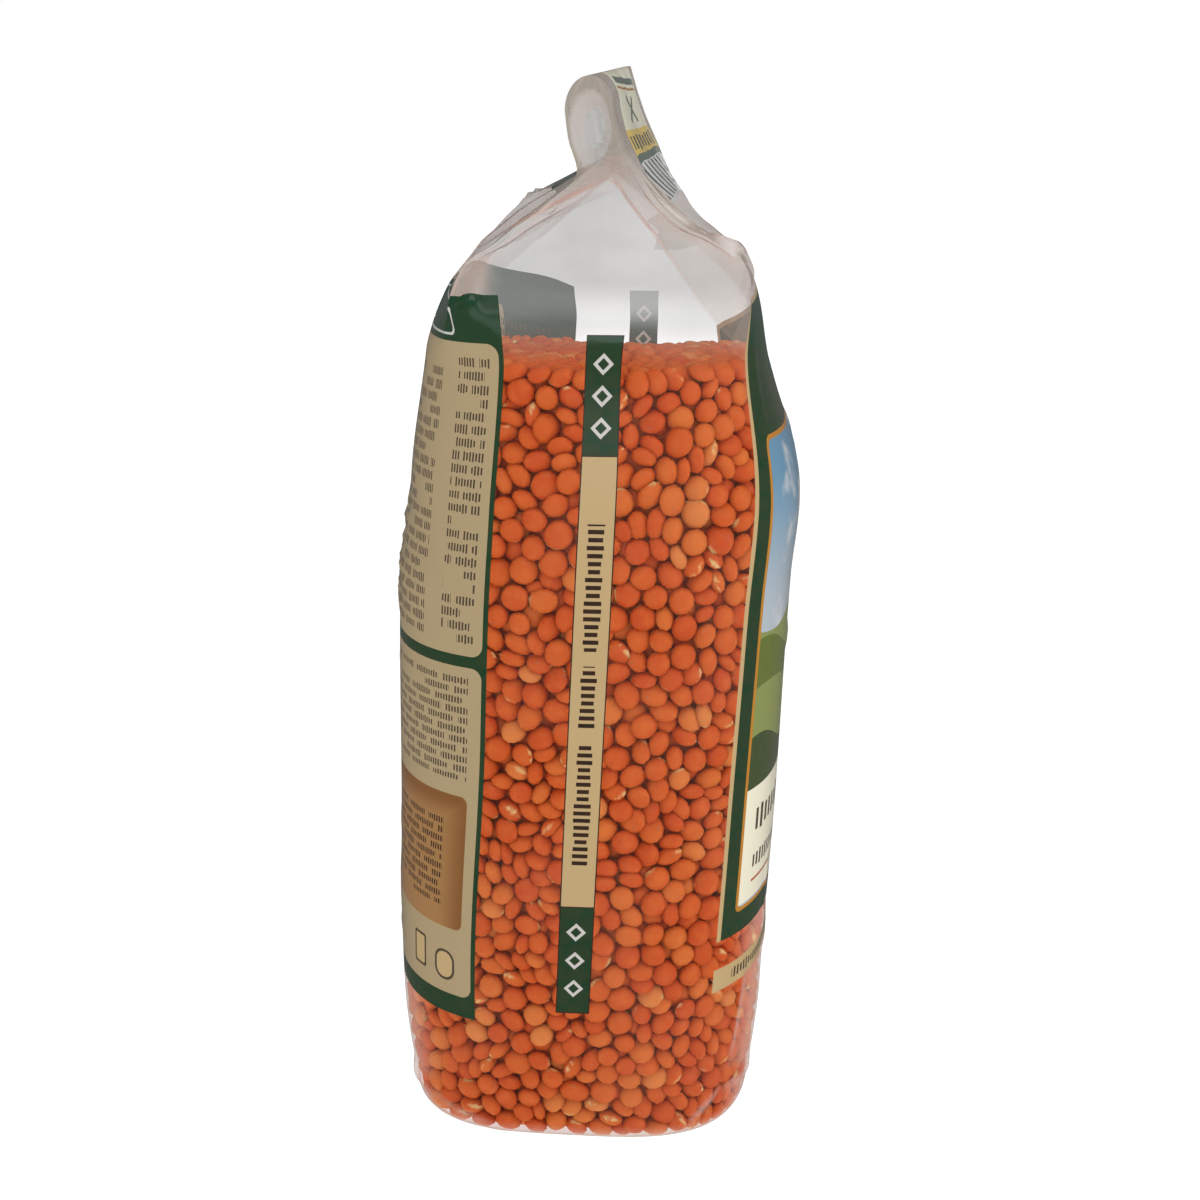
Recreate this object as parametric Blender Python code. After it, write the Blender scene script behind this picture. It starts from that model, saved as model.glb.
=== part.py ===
"""A clear film bag filled with whole red lentils, standing on its folded base.

The bag is one closed piece of film, so it is one solid: the filled body, the gable where
the side gussets tuck in, and the flat top that is folded over to the back in a loop.
Metres, +Z up. +X is the front panel, -X the back panel, -Y and +Y are the side gussets.
The origin is the middle of the base.
"""

import math

import bmesh
import bpy

MM = 0.001

# Driving dimensions
FOLD_TOP = 186.0 * MM
SHOULDER_HEIGHT = 157.0 * MM
NECK_HEIGHT = 172.0 * MM
BELLY_HALF_Y = 40.0 * MM
FLAT_HALF_WIDTH = 42.0 * MM
CLEAR_GUSSET_HALF = 22.5 * MM
BASE_EDGE_RADIUS = 3.0 * MM
FOLD_TILT = 2.3 * MM
SEAM_THICKNESS = 0.6 * MM
TUCK_DEPTH = 18.0 * MM
LEAST_TUCK = 1.2 * MM
TUCK_START = 138.0 * MM
TUCK_APEX = 168.0 * MM

# Filled body: height, centre in x, half size in x, half size in y, squareness
BODY_STATIONS = (
    (0.0, -1.9, 31.4, 32.8, 3.4),
    (20.0, -2.2, 34.1, 36.8, 2.7),
    (60.0, -0.9, 34.8, 39.3, 2.6),
    (100.0, 0.5, 34.9, BELLY_HALF_Y / MM, 2.7),
    (116.0, 2.2, 34.3, 39.6, 2.7),
    (138.0, 0.8, 29.5, 38.6, 2.9),
    (150.0, 0.7, 27.3, 39.4, 3.2),
    (SHOULDER_HEIGHT / MM, 2.5, 22.8, 40.5, 3.4),
)

# Gable and fold: height, then film in x at the near gusset (back, front) and the far one
GABLE_STATIONS = (
    (138.0, -20.0, 31.0, -32.0, 31.0),
    (150.0, -18.0, 28.3, -31.0, 27.4),
    (SHOULDER_HEIGHT / MM, -16.3, 27.0, -24.0, 20.0),
    (160.0, -12.0, 24.5, -20.8, 15.8),
    (163.0, -8.5, 18.5, -16.5, 13.8),
    (167.0, -3.5, 14.0, -8.0, 10.8),
    (NECK_HEIGHT / MM, 0.8, 10.2, 0.8, 8.3),
    (177.0, -0.5, 7.4, -0.8, 5.9),
    (181.0, -1.0, 6.4, -1.6, 4.4),
)
FOLD_START = 181.0 * MM
GABLE_BLEND = (140.0 * MM, 158.0 * MM)

# How fast the gusset's two fold lines open below the apex, in width for each unit of height
NEAR_FOLD_SLOPES = (1.95, 0.78)
FAR_FOLD_SLOPES = (1.20, 1.05)
LIP = 0.9 * MM
EDGE_ROUNDING = 0.5 * MM
LEAST_FOLD_HALF = 0.7 * MM

# Hollow of the loop that the folded top makes
LOOP_HALF_X = 1.9 * MM
LOOP_HALF_Z = 4.6 * MM
LOOP_CENTRE = (2.6 * MM, 178.6 * MM)
LOOP_SIDES = 16

# Mesh density: segments round each panel and each gusset
PANEL_SEGMENTS = 18
SEAM_SEGMENTS = 2
LIP_SEGMENTS = 1
EAR_SEGMENTS = 3
TUCK_SEGMENTS = 4
GUSSET_SEGMENTS = 2 * (LIP_SEGMENTS + EAR_SEGMENTS) + TUCK_SEGMENTS
BASE_EDGE_RINGS = 4
BASE_INNER_SCALES = (0.72, 0.4)
BODY_RING_STEP = 6.0 * MM
GABLE_RING_STEP = 2.4 * MM
FOLD_RINGS = 5
CROWN_SHARE = 0.75
BAG_COLOUR = (0.86, 0.34, 0.14, 1.0)


def smoothstep(low, high, value):
    """0 below low, 1 above high, with a smooth rise between."""
    share = min(1.0, max(0.0, (value - low) / (high - low)))
    return share * share * (3.0 - 2.0 * share)


def read_profile(stations, height):
    """The columns of a station table at a height, in metres, through a smooth curve."""
    z = height / MM
    last = len(stations) - 1
    z = min(max(z, stations[0][0]), stations[last][0])
    k = 0
    while k < last - 1 and z > stations[k + 1][0]:
        k += 1
    z0, z1 = stations[k][0], stations[k + 1][0]
    share = (z - z0) / (z1 - z0)
    values = []
    for column in range(1, len(stations[0])):
        ends = stations[k][column], stations[k + 1][column]
        slopes = [station_slope(stations, n, column) * (z1 - z0) for n in (k, k + 1)]
        values.append(hermite(ends, slopes, share))
    return values


def station_slope(stations, n, column):
    """Slope of one column at station n that never overshoots its neighbours."""
    steps = []
    for a, b in ((n - 1, n), (n, n + 1)):
        if a < 0 or b >= len(stations):
            continue
        rise = stations[b][column] - stations[a][column]
        steps.append(rise / (stations[b][0] - stations[a][0]))
    if len(steps) == 1:
        return steps[0]
    if steps[0] * steps[1] <= 0.0:
        return 0.0
    return 2.0 * steps[0] * steps[1] / (steps[0] + steps[1])


def hermite(ends, slopes, share):
    """A cubic between two values with the slopes given at its ends."""
    s2, s3 = share * share, share**3
    value = ends[0] * (2 * s3 - 3 * s2 + 1) + ends[1] * (3 * s2 - 2 * s3)
    return value + slopes[0] * (s3 - 2 * s2 + share) + slopes[1] * (s3 - s2)


def signed_power(value, power):
    return math.copysign(abs(value) ** power, value)


def round_section(height, inset):
    """The filled body's cross-section: a squared oval, the same points in the same order."""
    centre, half_x, half_y, power = read_profile(BODY_STATIONS, height)
    half_x = half_x * MM - inset
    half_y = half_y * MM - inset
    corner = math.acos(min(0.95, CLEAR_GUSSET_HALF / half_x) ** (power / 2.0))
    angles = []
    for k in range(PANEL_SEGMENTS):
        angles.append(-corner + 2.0 * corner * k / PANEL_SEGMENTS)
    for k in range(GUSSET_SEGMENTS):
        angles.append(corner + (math.pi - 2.0 * corner) * k / GUSSET_SEGMENTS)
    points = []
    for turn in (0.0, math.pi):
        for angle in angles:
            x = signed_power(math.cos(angle + turn), 2.0 / power) * half_x
            y = signed_power(math.sin(angle + turn), 2.0 / power) * half_y
            points.append((centre * MM + x, y))
    return points


def raise_seam(points, height):
    """The back panel's lengthwise seam: a flat strip that stands a little proud of it."""
    first = PANEL_SEGMENTS + GUSSET_SEGMENTS + (PANEL_SEGMENTS - SEAM_SEGMENTS) // 2
    rise = SEAM_THICKNESS * smoothstep(2.0 * MM, 8.0 * MM, height)
    rise *= 1.0 - smoothstep(172.0 * MM, 180.0 * MM, height)
    for k in range(first, first + SEAM_SEGMENTS + 1):
        x, y = points[k]
        points[k] = (x - rise, y)


def gusset_line(front, back, height, side, slopes):
    """One gusset end of the gable, front corner to back corner: lip, ear, tucked panel, ear, lip."""
    fade = smoothstep(176.0 * MM, TUCK_APEX, height)
    depth = TUCK_DEPTH * smoothstep(TUCK_START, TUCK_APEX, height) * fade
    depth = max(depth, LEAST_TUCK * smoothstep(TUCK_START, TUCK_APEX, height))
    apex_x = (front + back) / 2.0
    drop = max(0.0, TUCK_APEX - height)
    lip = min(LIP, 0.15 * (front - back))
    least = min(LEAST_FOLD_HALF, 0.15 * (front - back))
    most = (front - back) / 2.0 - 2.0 * lip
    reach_back = min(max(least, slopes[0] * drop), most)
    reach_front = min(max(least, slopes[1] * drop), most)
    outer = side * FLAT_HALF_WIDTH
    inner = side * (FLAT_HALF_WIDTH - depth)
    edge = side * (FLAT_HALF_WIDTH - EDGE_ROUNDING)
    corners = (
        (front, edge),
        (front - lip, outer),
        (apex_x + reach_front, inner),
        (apex_x - reach_back, inner),
        (back + lip, outer),
        (back, edge),
    )
    counts = (LIP_SEGMENTS, EAR_SEGMENTS, TUCK_SEGMENTS, EAR_SEGMENTS, LIP_SEGMENTS)
    points = []
    for (x0, y0), (x1, y1), count in zip(corners, corners[1:], counts):
        for k in range(count):
            share = k / count
            bow = side * EDGE_ROUNDING * math.sin(math.pi * share)
            points.append((x0 + (x1 - x0) * share, y0 + (y1 - y0) * share - bow))
    return points


def gable_films(height):
    """Where the back and front films are in x: at the near gusset, then at the far one."""
    values = read_profile(GABLE_STATIONS, min(height, FOLD_START))
    rise = max(0.0, height - FOLD_START) / (FOLD_TOP - FOLD_START)
    share = math.sqrt(max(0.0, 1.0 - rise * rise))
    films = []
    for back, front in (values[:2], values[2:]):
        middle, half = (back + front) / 2.0, share * (front - back) / 2.0
        films.append(((middle - half) * MM, (middle + half) * MM))
    return films


def gable_section(height):
    """The gable's cross-section: two flat panels and the tucked gussets between them."""
    near, far = gable_films(height)
    edge = FLAT_HALF_WIDTH - EDGE_ROUNDING
    points = []
    for k in range(PANEL_SEGMENTS):
        share = k / PANEL_SEGMENTS
        points.append((near[1] + (far[1] - near[1]) * share, edge * (2.0 * share - 1.0)))
    points += gusset_line(far[1], far[0], height, 1.0, FAR_FOLD_SLOPES)
    for k in range(PANEL_SEGMENTS):
        share = k / PANEL_SEGMENTS
        points.append((far[0] + (near[0] - far[0]) * share, edge * (1.0 - 2.0 * share)))
    points.append((near[0], -edge))
    points += gusset_line(near[1], near[0], height, -1.0, NEAR_FOLD_SLOPES)[:0:-1]
    return points


def ring_points(height, inset=0.0, scale=1.0):
    """One closed ring of the film at a height, tilted where the gable starts."""
    blend = smoothstep(GABLE_BLEND[0], GABLE_BLEND[1], height)
    body = round_section(min(height, SHOULDER_HEIGHT), inset)
    gable = gable_section(max(height, GABLE_STATIONS[0][0] * MM))
    tilt = FOLD_TILT * smoothstep(145.0 * MM, FOLD_START, height)
    points = []
    for (bx, by), (gx, gy) in zip(body, gable):
        points.append(((bx + (gx - bx) * blend) * scale, (by + (gy - by) * blend) * scale))
    raise_seam(points, height)
    return [(x, y, height + tilt * y / FLAT_HALF_WIDTH) for x, y in points]


def ring_plan():
    """Height and inset of every ring, from the base's edge to the fold's crown."""
    plan = []
    for k in range(BASE_EDGE_RINGS + 1):
        angle = math.pi / 2.0 * k / BASE_EDGE_RINGS
        lift = BASE_EDGE_RADIUS * (1.0 - math.cos(angle))
        plan.append((lift, BASE_EDGE_RADIUS * (1.0 - math.sin(angle))))
    for low, high, step in (
        (BASE_EDGE_RADIUS, TUCK_START, BODY_RING_STEP),
        (TUCK_START, FOLD_START, GABLE_RING_STEP),
    ):
        count = math.ceil((high - low) / step)
        plan += [(low + (high - low) * k / count, 0.0) for k in range(1, count + 1)]
    for k in range(1, FOLD_RINGS + 1):
        angle = CROWN_SHARE * math.pi / 2.0 * k / FOLD_RINGS
        plan.append((FOLD_START + (FOLD_TOP - FOLD_START) * math.sin(angle), 0.0))
    return plan


def bridge(bm, lower, upper):
    """Faces between two rings of the same count."""
    count = len(lower)
    for k in range(count):
        n = (k + 1) % count
        bm.faces.new((lower[k], lower[n], upper[n], upper[k]))


def close_crown(bm, ring):
    """Zips the last ring shut, front film to back film, and the gusset ends to themselves."""
    count = len(ring)
    half = count // 2
    mirror = {}
    for k in range(PANEL_SEGMENTS + 1):
        mirror[k] = (half + PANEL_SEGMENTS - k) % count
    for k in range(PANEL_SEGMENTS):
        bm.faces.new((ring[k], ring[k + 1], ring[mirror[k + 1]], ring[mirror[k]]))
    for start in (PANEL_SEGMENTS, half + PANEL_SEGMENTS):
        low, high = start, start + GUSSET_SEGMENTS
        while high - low > 2:
            corners = (low, low + 1, high - 1, high)
            bm.faces.new([ring[c % count] for c in corners])
            low, high = low + 1, high - 1
        bm.faces.new([ring[c % count] for c in (low, low + 1, high)])


def build_shell(name):
    """The bag's closed surface, as a loft through its rings."""
    bm = bmesh.new()
    rings = []
    for height, inset in ring_plan():
        rings.append([bm.verts.new(p) for p in ring_points(height, inset)])
    for lower, upper in zip(rings, rings[1:]):
        bridge(bm, lower, upper)
    outer = rings[0]
    for scale in BASE_INNER_SCALES:
        points = ring_points(0.0, BASE_EDGE_RADIUS, scale)
        inner = [bm.verts.new(p) for p in points]
        bridge(bm, inner, outer)
        outer = inner
    middle = bm.verts.new((0.0, 0.0, 0.0))
    for k in range(len(outer)):
        bm.faces.new((outer[(k + 1) % len(outer)], outer[k], middle))
    close_crown(bm, rings[-1])
    bmesh.ops.recalc_face_normals(bm, faces=bm.faces)
    mesh = bpy.data.meshes.new(name)
    bm.to_mesh(mesh)
    bm.free()
    return bpy.data.objects.new(name, mesh)


def loop_cutter():
    """An oval rod along the fold, which leaves the hollow of its loop."""
    bm = bmesh.new()
    bmesh.ops.create_cone(
        bm,
        cap_ends=True,
        segments=LOOP_SIDES,
        radius1=1.0,
        radius2=1.0,
        depth=2.6 * FLAT_HALF_WIDTH,
    )
    bmesh.ops.scale(bm, verts=bm.verts, vec=(LOOP_HALF_X, LOOP_HALF_Z, 1.0))
    mesh = bpy.data.meshes.new("loop_cutter")
    bm.to_mesh(mesh)
    bm.free()
    cutter = bpy.data.objects.new("loop_cutter", mesh)
    cutter.location = (LOOP_CENTRE[0], 0.0, LOOP_CENTRE[1])
    lift = math.atan2(FOLD_TILT, FLAT_HALF_WIDTH)
    cutter.rotation_euler = (math.pi / 2.0 + lift, 0.0, 0.0)
    cutter.hide_render = True
    cutter.display_type = "WIRE"
    return cutter


def film_material():
    material = bpy.data.materials.new("film_and_lentils")
    material.use_nodes = True
    shader = material.node_tree.nodes["Principled BSDF"]
    shader.inputs["Base Color"].default_value = BAG_COLOUR
    shader.inputs["Roughness"].default_value = 0.3
    shader.inputs["Metallic"].default_value = 0.0
    return material


def centre_on_base(obj):
    """Moves the mesh so that the origin is the middle of its box, seen from above."""
    xs = [v.co.x for v in obj.data.vertices]
    ys = [v.co.y for v in obj.data.vertices]
    shift_x = (min(xs) + max(xs)) / 2.0
    shift_y = (min(ys) + max(ys)) / 2.0
    for v in obj.data.vertices:
        v.co.x -= shift_x
        v.co.y -= shift_y
    return shift_x, shift_y


def main():
    for obj in list(bpy.data.objects):
        bpy.data.objects.remove(obj)
    parts = bpy.data.collections.new("lentil_bag")
    cutters = bpy.data.collections.new("cutters")
    for collection in (parts, cutters):
        bpy.context.scene.collection.children.link(collection)
    bag = build_shell("lentil_bag")
    parts.objects.link(bag)
    bag.data.materials.append(film_material())
    bag.data.shade_smooth()
    shift_x, shift_y = centre_on_base(bag)
    cutter = loop_cutter()
    cutters.objects.link(cutter)
    cutter.location.x -= shift_x
    cutter.location.y -= shift_y
    cut = bag.modifiers.new("loop_hollow", "BOOLEAN")
    cut.operation = "DIFFERENCE"
    cut.solver = "EXACT"
    cut.object = cutter


main()
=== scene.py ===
import math
from functools import partialmethod

import bpy
import numpy as np
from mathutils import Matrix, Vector


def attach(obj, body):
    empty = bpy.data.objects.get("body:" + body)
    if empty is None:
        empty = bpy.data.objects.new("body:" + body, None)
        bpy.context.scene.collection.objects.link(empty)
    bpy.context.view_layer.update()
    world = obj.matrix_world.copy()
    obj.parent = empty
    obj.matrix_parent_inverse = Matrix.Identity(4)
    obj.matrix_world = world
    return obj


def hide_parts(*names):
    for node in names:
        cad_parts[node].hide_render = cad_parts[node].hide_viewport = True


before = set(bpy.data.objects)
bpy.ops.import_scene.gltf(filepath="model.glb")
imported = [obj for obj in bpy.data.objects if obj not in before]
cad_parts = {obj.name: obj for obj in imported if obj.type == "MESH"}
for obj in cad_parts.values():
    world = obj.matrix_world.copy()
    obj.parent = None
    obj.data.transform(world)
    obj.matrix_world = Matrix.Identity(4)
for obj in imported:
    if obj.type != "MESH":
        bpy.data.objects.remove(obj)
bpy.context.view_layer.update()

MM = 0.001
SEED = 41

# The bag's form, in millimetres: the same stations as the CAD solid
FOLD_TOP = 186.0
FOLD_START = 181.0
SHOULDER_HEIGHT = 157.0
FLAT_HALF_WIDTH = 42.0
CLEAR_GUSSET_HALF = 22.5
BASE_EDGE_RADIUS = 3.0
FOLD_TILT = 2.3
FOLD_LEAN = 1.5
SEAM_THICKNESS = 0.6
SEAM_HALF_WIDTH = (1.0, 1.6)
SEAM_UNITS_PER_PANEL = 18.0
TUCK_DEPTH = 18.0
LEAST_TUCK = 1.2
TUCK_START = 138.0
TUCK_APEX = 168.0
TUCK_END = 176.0
GABLE_BLEND = (140.0, 158.0)
NEAR_FOLD_SLOPES = (1.95, 0.78)
FAR_FOLD_SLOPES = (1.20, 1.05)
LIP = 0.9
EDGE_ROUNDING = 0.5
LEAST_FOLD_HALF = 0.7
CROWN_SHARE = 0.97

# Filled body: height, centre in x, half size in x, half size in y, squareness
BODY_STATIONS = (
    (0.0, -1.9, 31.4, 32.8, 3.4),
    (20.0, -2.2, 34.1, 36.8, 2.7),
    (60.0, -0.9, 34.8, 39.3, 2.6),
    (100.0, 0.5, 34.9, 40.0, 2.7),
    (116.0, 2.2, 34.3, 39.6, 2.7),
    (138.0, 0.8, 29.5, 38.6, 2.9),
    (150.0, 0.7, 27.3, 39.4, 3.2),
    (SHOULDER_HEIGHT, 2.5, 22.8, 40.5, 3.4),
)

# Gable and fold: height, then film in x at the near gusset (back, front) and the far one
GABLE_STATIONS = (
    (138.0, -20.0, 31.0, -32.0, 31.0),
    (150.0, -18.0, 28.3, -31.0, 27.4),
    (SHOULDER_HEIGHT, -16.3, 27.0, -24.0, 20.0),
    (160.0, -12.0, 24.5, -20.8, 15.8),
    (163.0, -8.5, 18.5, -16.5, 13.8),
    (167.0, -3.5, 14.0, -8.0, 10.8),
    (172.0, 0.8, 10.2, 0.8, 8.3),
    (177.0, -0.5, 7.4, -0.8, 5.9),
    (FOLD_START, -1.0, 6.4, -1.6, 4.4),
)

# Film mesh: columns round each panel and gusset, and the height between rings
PANEL_COLUMNS = 84
GUSSET_COLUMNS = 60
RING_STEP = 0.95
BASE_RINGS = 10
FOLD_RINGS = 14
END_FACES = PANEL_COLUMNS + GUSSET_COLUMNS - 1
LEAST_HEIGHT = 0.05
SHARP_FOLD = math.radians(18.0)

# The print's map: its scale, where its middle line crosses the base, that line's lean,
# the height above which it is measured along the film, and where it is cut behind
PRINT_MAP_SIZE = 200.0
PRINT_LINE_START = -3.55
PRINT_LINE_LEAN = 0.0505
PRINT_RISE_START = 150.0
PRINT_SPLIT = 0.512
FAR_STRIP_BLEND = (97.0, 111.0)

# Bare film between the prints, where the film's materials meet
BACK_ENDS = (-9.0, -114.5)
FRONT_ENDS = (16.0, 99.5)
TAB_END = 109.0
TAB_FOOT = 168.5

# Fill: the heap's top, how deep the lentils go, and the lentils
FILL_HEIGHT = 138.8
HEAP_SLOPE = 0.06
FILL_DEPTH = 7.0
FILL_LOW = (-37.0, -41.0, 0.4)
FILL_HIGH = (38.0, 41.0, FILL_HEIGHT + 3.0)
CORE_DEPTH = 3.9
CORE_START = 0.5
CORE_RINGS = 30
LENTIL_RADIUS = 2.34
LENTIL_HALF_THICKNESS = 1.36
PACKING_SHARE = 0.76
WALL_LEANING = 1.1
FILM_GAP = 0.24
FOOT_RADIUS = 3.0
TRIAL_PLACES = 60000
RELAX_STEPS = 160
WALL_STEPS = 5
STEPS_BETWEEN_SORTS = 4
SORT_MARGIN = 0.8
PUSH_SHARE = 0.42
TURN_SHARE = 0.05
WALL_PUSH = 0.8
WALL_TURN = 0.2
SEEN_DEPTH = 4.2
OUTER_PER_PIECE = 1600
INNER_PER_PIECE = 2400

# Creases in the film: ends in millimetres, height of the ridge and reach to each side
NAMED_CREASES = (
    ((1.0, -33.0, 168.0), (-14.0, -41.0, 159.6), 0.6, 2.0),
    ((10.0, -40.0, 169.0), (19.5, -41.5, 160.2), 0.9, 2.4),
    ((19.5, -41.5, 160.2), (27.4, -41.5, 158.2), 0.9, 2.4),
    ((27.0, -41.5, 157.0), (22.5, -41.5, 149.5), 0.7, 2.0),
    ((23.7, -41.5, 152.7), (13.0, -41.0, 148.5), 0.5, 1.8),
    ((-12.2, -41.0, 152.8), (-1.0, -40.5, 143.5), 0.5, 1.8),
    ((-9.2, -40.0, 144.5), (-7.9, -40.0, 136.7), 0.4, 1.6),
    ((-17.5, -41.0, 157.0), (-24.0, -38.0, 149.0), 0.8, 2.2),
    ((-31.0, -12.0, 5.0), (-25.0, -28.0, 7.0), 0.9, 2.2),
    ((-25.0, -28.0, 7.0), (-12.0, -33.5, 2.0), 0.9, 2.2),
    ((29.5, -13.0, 6.5), (25.0, -28.0, 10.5), 0.9, 2.0),
    ((25.0, -28.0, 10.5), (18.0, -33.0, 2.5), 0.9, 2.0),
    ((30.0, -24.0, 30.0), (27.0, -27.0, 14.0), 0.5, 2.2),
    ((-35.0, 6.0, 109.0), (-33.5, -24.0, 112.0), 0.7, 1.8),
    ((-35.0, -6.0, 107.0), (-33.0, -26.0, 101.0), 0.6, 1.6),
    ((-35.0, -8.0, 103.0), (-34.0, -22.0, 95.0), 0.5, 1.6),
    ((-17.5, 40.0, 162.5), (-9.5, 12.0, 166.5), 1.3, 2.0),
    ((26.6, -42.0, 158.6), (24.0, -8.0, 158.9), 1.2, 2.6),
    ((-31.0, 12.0, 5.0), (-25.0, 28.0, 8.0), 0.9, 2.2),
    ((29.5, 13.0, 6.5), (25.0, 28.0, 10.5), 0.9, 2.0),
)
LOOSE_CREASES = 34
FULL_CREST = 0.7
CREASE_DEPTH = 7.0

# The gable's folds at each gusset: side, apex in x, slopes (back, front) and how crisp
GABLE_FOLDS = ((-1.0, 4.5, (2.0, 0.81), 1.0), (1.0, 1.4, (1.20, 1.05), 0.45))
FOLD_FAR = 5.0

# The hollow at each end of the folded loop
LOOP_CENTRE = (2.6, 178.4)
LOOP_HALF = (3.4, 6.0)
LOOP_DENT = 9.0


def smoothstep(low, high, value):
    share = np.clip((value - low) / (high - low), 0.0, 1.0)
    return share * share * (3.0 - 2.0 * share)


def station_slope(stations, n, column):
    """Slope of one column at station n that never overshoots its neighbours."""
    steps = []
    for a, b in ((n - 1, n), (n, n + 1)):
        if a < 0 or b >= len(stations):
            continue
        rise = stations[b][column] - stations[a][column]
        steps.append(rise / (stations[b][0] - stations[a][0]))
    if len(steps) == 1:
        return steps[0]
    if steps[0] * steps[1] <= 0.0:
        return 0.0
    return 2.0 * steps[0] * steps[1] / (steps[0] + steps[1])


def read_profile(stations, height):
    """The columns of a station table at a height, through a smooth curve."""
    last = len(stations) - 1
    z = min(max(height, stations[0][0]), stations[last][0])
    k = 0
    while k < last - 1 and z > stations[k + 1][0]:
        k += 1
    span = stations[k + 1][0] - stations[k][0]
    share = (z - stations[k][0]) / span
    s2, s3 = share * share, share**3
    values = []
    for column in range(1, len(stations[0])):
        low, high = stations[k][column], stations[k + 1][column]
        slope_low = station_slope(stations, k, column) * span
        slope_high = station_slope(stations, k + 1, column) * span
        value = low * (2 * s3 - 3 * s2 + 1) + high * (3 * s2 - 2 * s3)
        value += slope_low * (s3 - 2 * s2 + share) + slope_high * (s3 - s2)
        values.append(value)
    return values


def signed_power(value, power):
    return np.sign(value) * np.abs(value) ** power


def panel_shares():
    return np.arange(PANEL_COLUMNS) / PANEL_COLUMNS


def gusset_shares():
    return np.arange(GUSSET_COLUMNS) / GUSSET_COLUMNS


def round_section(height, inset):
    """The filled body's cross-section: a squared oval."""
    centre, half_x, half_y, power = read_profile(BODY_STATIONS, height)
    corner = math.acos(min(0.95, CLEAR_GUSSET_HALF / (half_x - inset)) ** (power / 2.0))
    panel = -corner + 2.0 * corner * panel_shares()
    gusset = corner + (math.pi - 2.0 * corner) * gusset_shares()
    angles = np.concatenate((panel, gusset, panel + math.pi, gusset + math.pi))
    x = signed_power(np.cos(angles), 2.0 / power) * (half_x - inset)
    y = signed_power(np.sin(angles), 2.0 / power) * (half_y - inset)
    return centre + x, y


def gable_films(height):
    """Where the back and front films are in x: at the near gusset, then at the far one."""
    values = read_profile(GABLE_STATIONS, min(height, FOLD_START))
    rise = max(0.0, height - FOLD_START) / (FOLD_TOP - FOLD_START)
    share = math.sqrt(max(0.0, 1.0 - rise * rise))
    films = []
    for (back, front), flat in ((values[:2], 0.0), (values[2:], 1.0)):
        half = share * (front - back) / 2.0
        middle = (back + front) / 2.0
        flat_middle = front - FOLD_LEAN * rise - half
        middle += (flat_middle - middle) * flat
        films.append((middle - half, middle + half))
    return films


def gusset_line(front, back, height, side, slopes, shares):
    """One gusset end of the gable, front corner to back corner: lip, ear, tuck, ear, lip."""
    fade = smoothstep(TUCK_END, TUCK_APEX, height)
    tuck = smoothstep(TUCK_START, TUCK_APEX, height)
    depth = max(TUCK_DEPTH * tuck * fade, LEAST_TUCK * tuck)
    apex_x = (front + back) / 2.0
    drop = max(0.0, TUCK_APEX - height)
    lip = min(LIP, 0.15 * (front - back))
    least = min(LEAST_FOLD_HALF, 0.15 * (front - back))
    most = (front - back) / 2.0 - 2.0 * lip
    reach_back = min(max(least, slopes[0] * drop), most)
    reach_front = min(max(least, slopes[1] * drop), most)
    outer = side * FLAT_HALF_WIDTH
    inner = side * (FLAT_HALF_WIDTH - depth)
    edge = side * (FLAT_HALF_WIDTH - EDGE_ROUNDING)
    knots = np.array((0.0, 1.0, 4.0, 8.0, 11.0, 12.0)) / 12.0
    xs = (front, front - lip, apex_x + reach_front, apex_x - reach_back, back + lip, back)
    ys = (edge, outer, inner, inner, outer, edge)
    x = np.interp(shares, knots, xs)
    y = np.interp(shares, knots, ys)
    piece = np.clip(np.searchsorted(knots, shares, side="right") - 1, 0, 4)
    local = (shares - knots[piece]) / (knots[piece + 1] - knots[piece])
    return x, y - side * EDGE_ROUNDING * np.sin(math.pi * local)


def gable_section(height):
    """The gable's cross-section: two flat panels and the tucked gussets between them."""
    near, far = gable_films(height)
    edge = FLAT_HALF_WIDTH - EDGE_ROUNDING
    panel = panel_shares()
    gusset = gusset_shares()
    far_x, far_y = gusset_line(far[1], far[0], height, 1.0, FAR_FOLD_SLOPES, gusset)
    near_x, near_y = gusset_line(near[1], near[0], height, -1.0, NEAR_FOLD_SLOPES, 1.0 - gusset)
    front_x = near[1] + (far[1] - near[1]) * panel
    back_x = far[0] + (near[0] - far[0]) * panel
    x = np.concatenate((front_x, far_x, back_x, near_x))
    y = np.concatenate((edge * (2.0 * panel - 1.0), far_y, edge * (1.0 - 2.0 * panel), near_y))
    return x, y


def ring_points(height, inset=0.0):
    """One closed ring of the film at a height, tilted where the gable starts."""
    blend = smoothstep(*GABLE_BLEND, height)
    bx, by = round_section(min(height, SHOULDER_HEIGHT), inset)
    gx, gy = gable_section(max(height, GABLE_STATIONS[0][0]))
    x = bx + (gx - bx) * blend
    y = by + (gy - by) * blend
    seam = (PANEL_COLUMNS + GUSSET_COLUMNS) + PANEL_COLUMNS / 2.0
    away = np.abs(np.arange(len(x)) - seam) / PANEL_COLUMNS * SEAM_UNITS_PER_PANEL
    rise = SEAM_THICKNESS * smoothstep(2.0, 8.0, height) * (1.0 - smoothstep(172.0, 180.0, height))
    x = x - rise * (1.0 - smoothstep(*SEAM_HALF_WIDTH, away))
    tilt = FOLD_TILT * smoothstep(145.0, FOLD_START, height)
    return np.stack((x, y, height + tilt * y / FLAT_HALF_WIDTH), axis=1)


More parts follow.
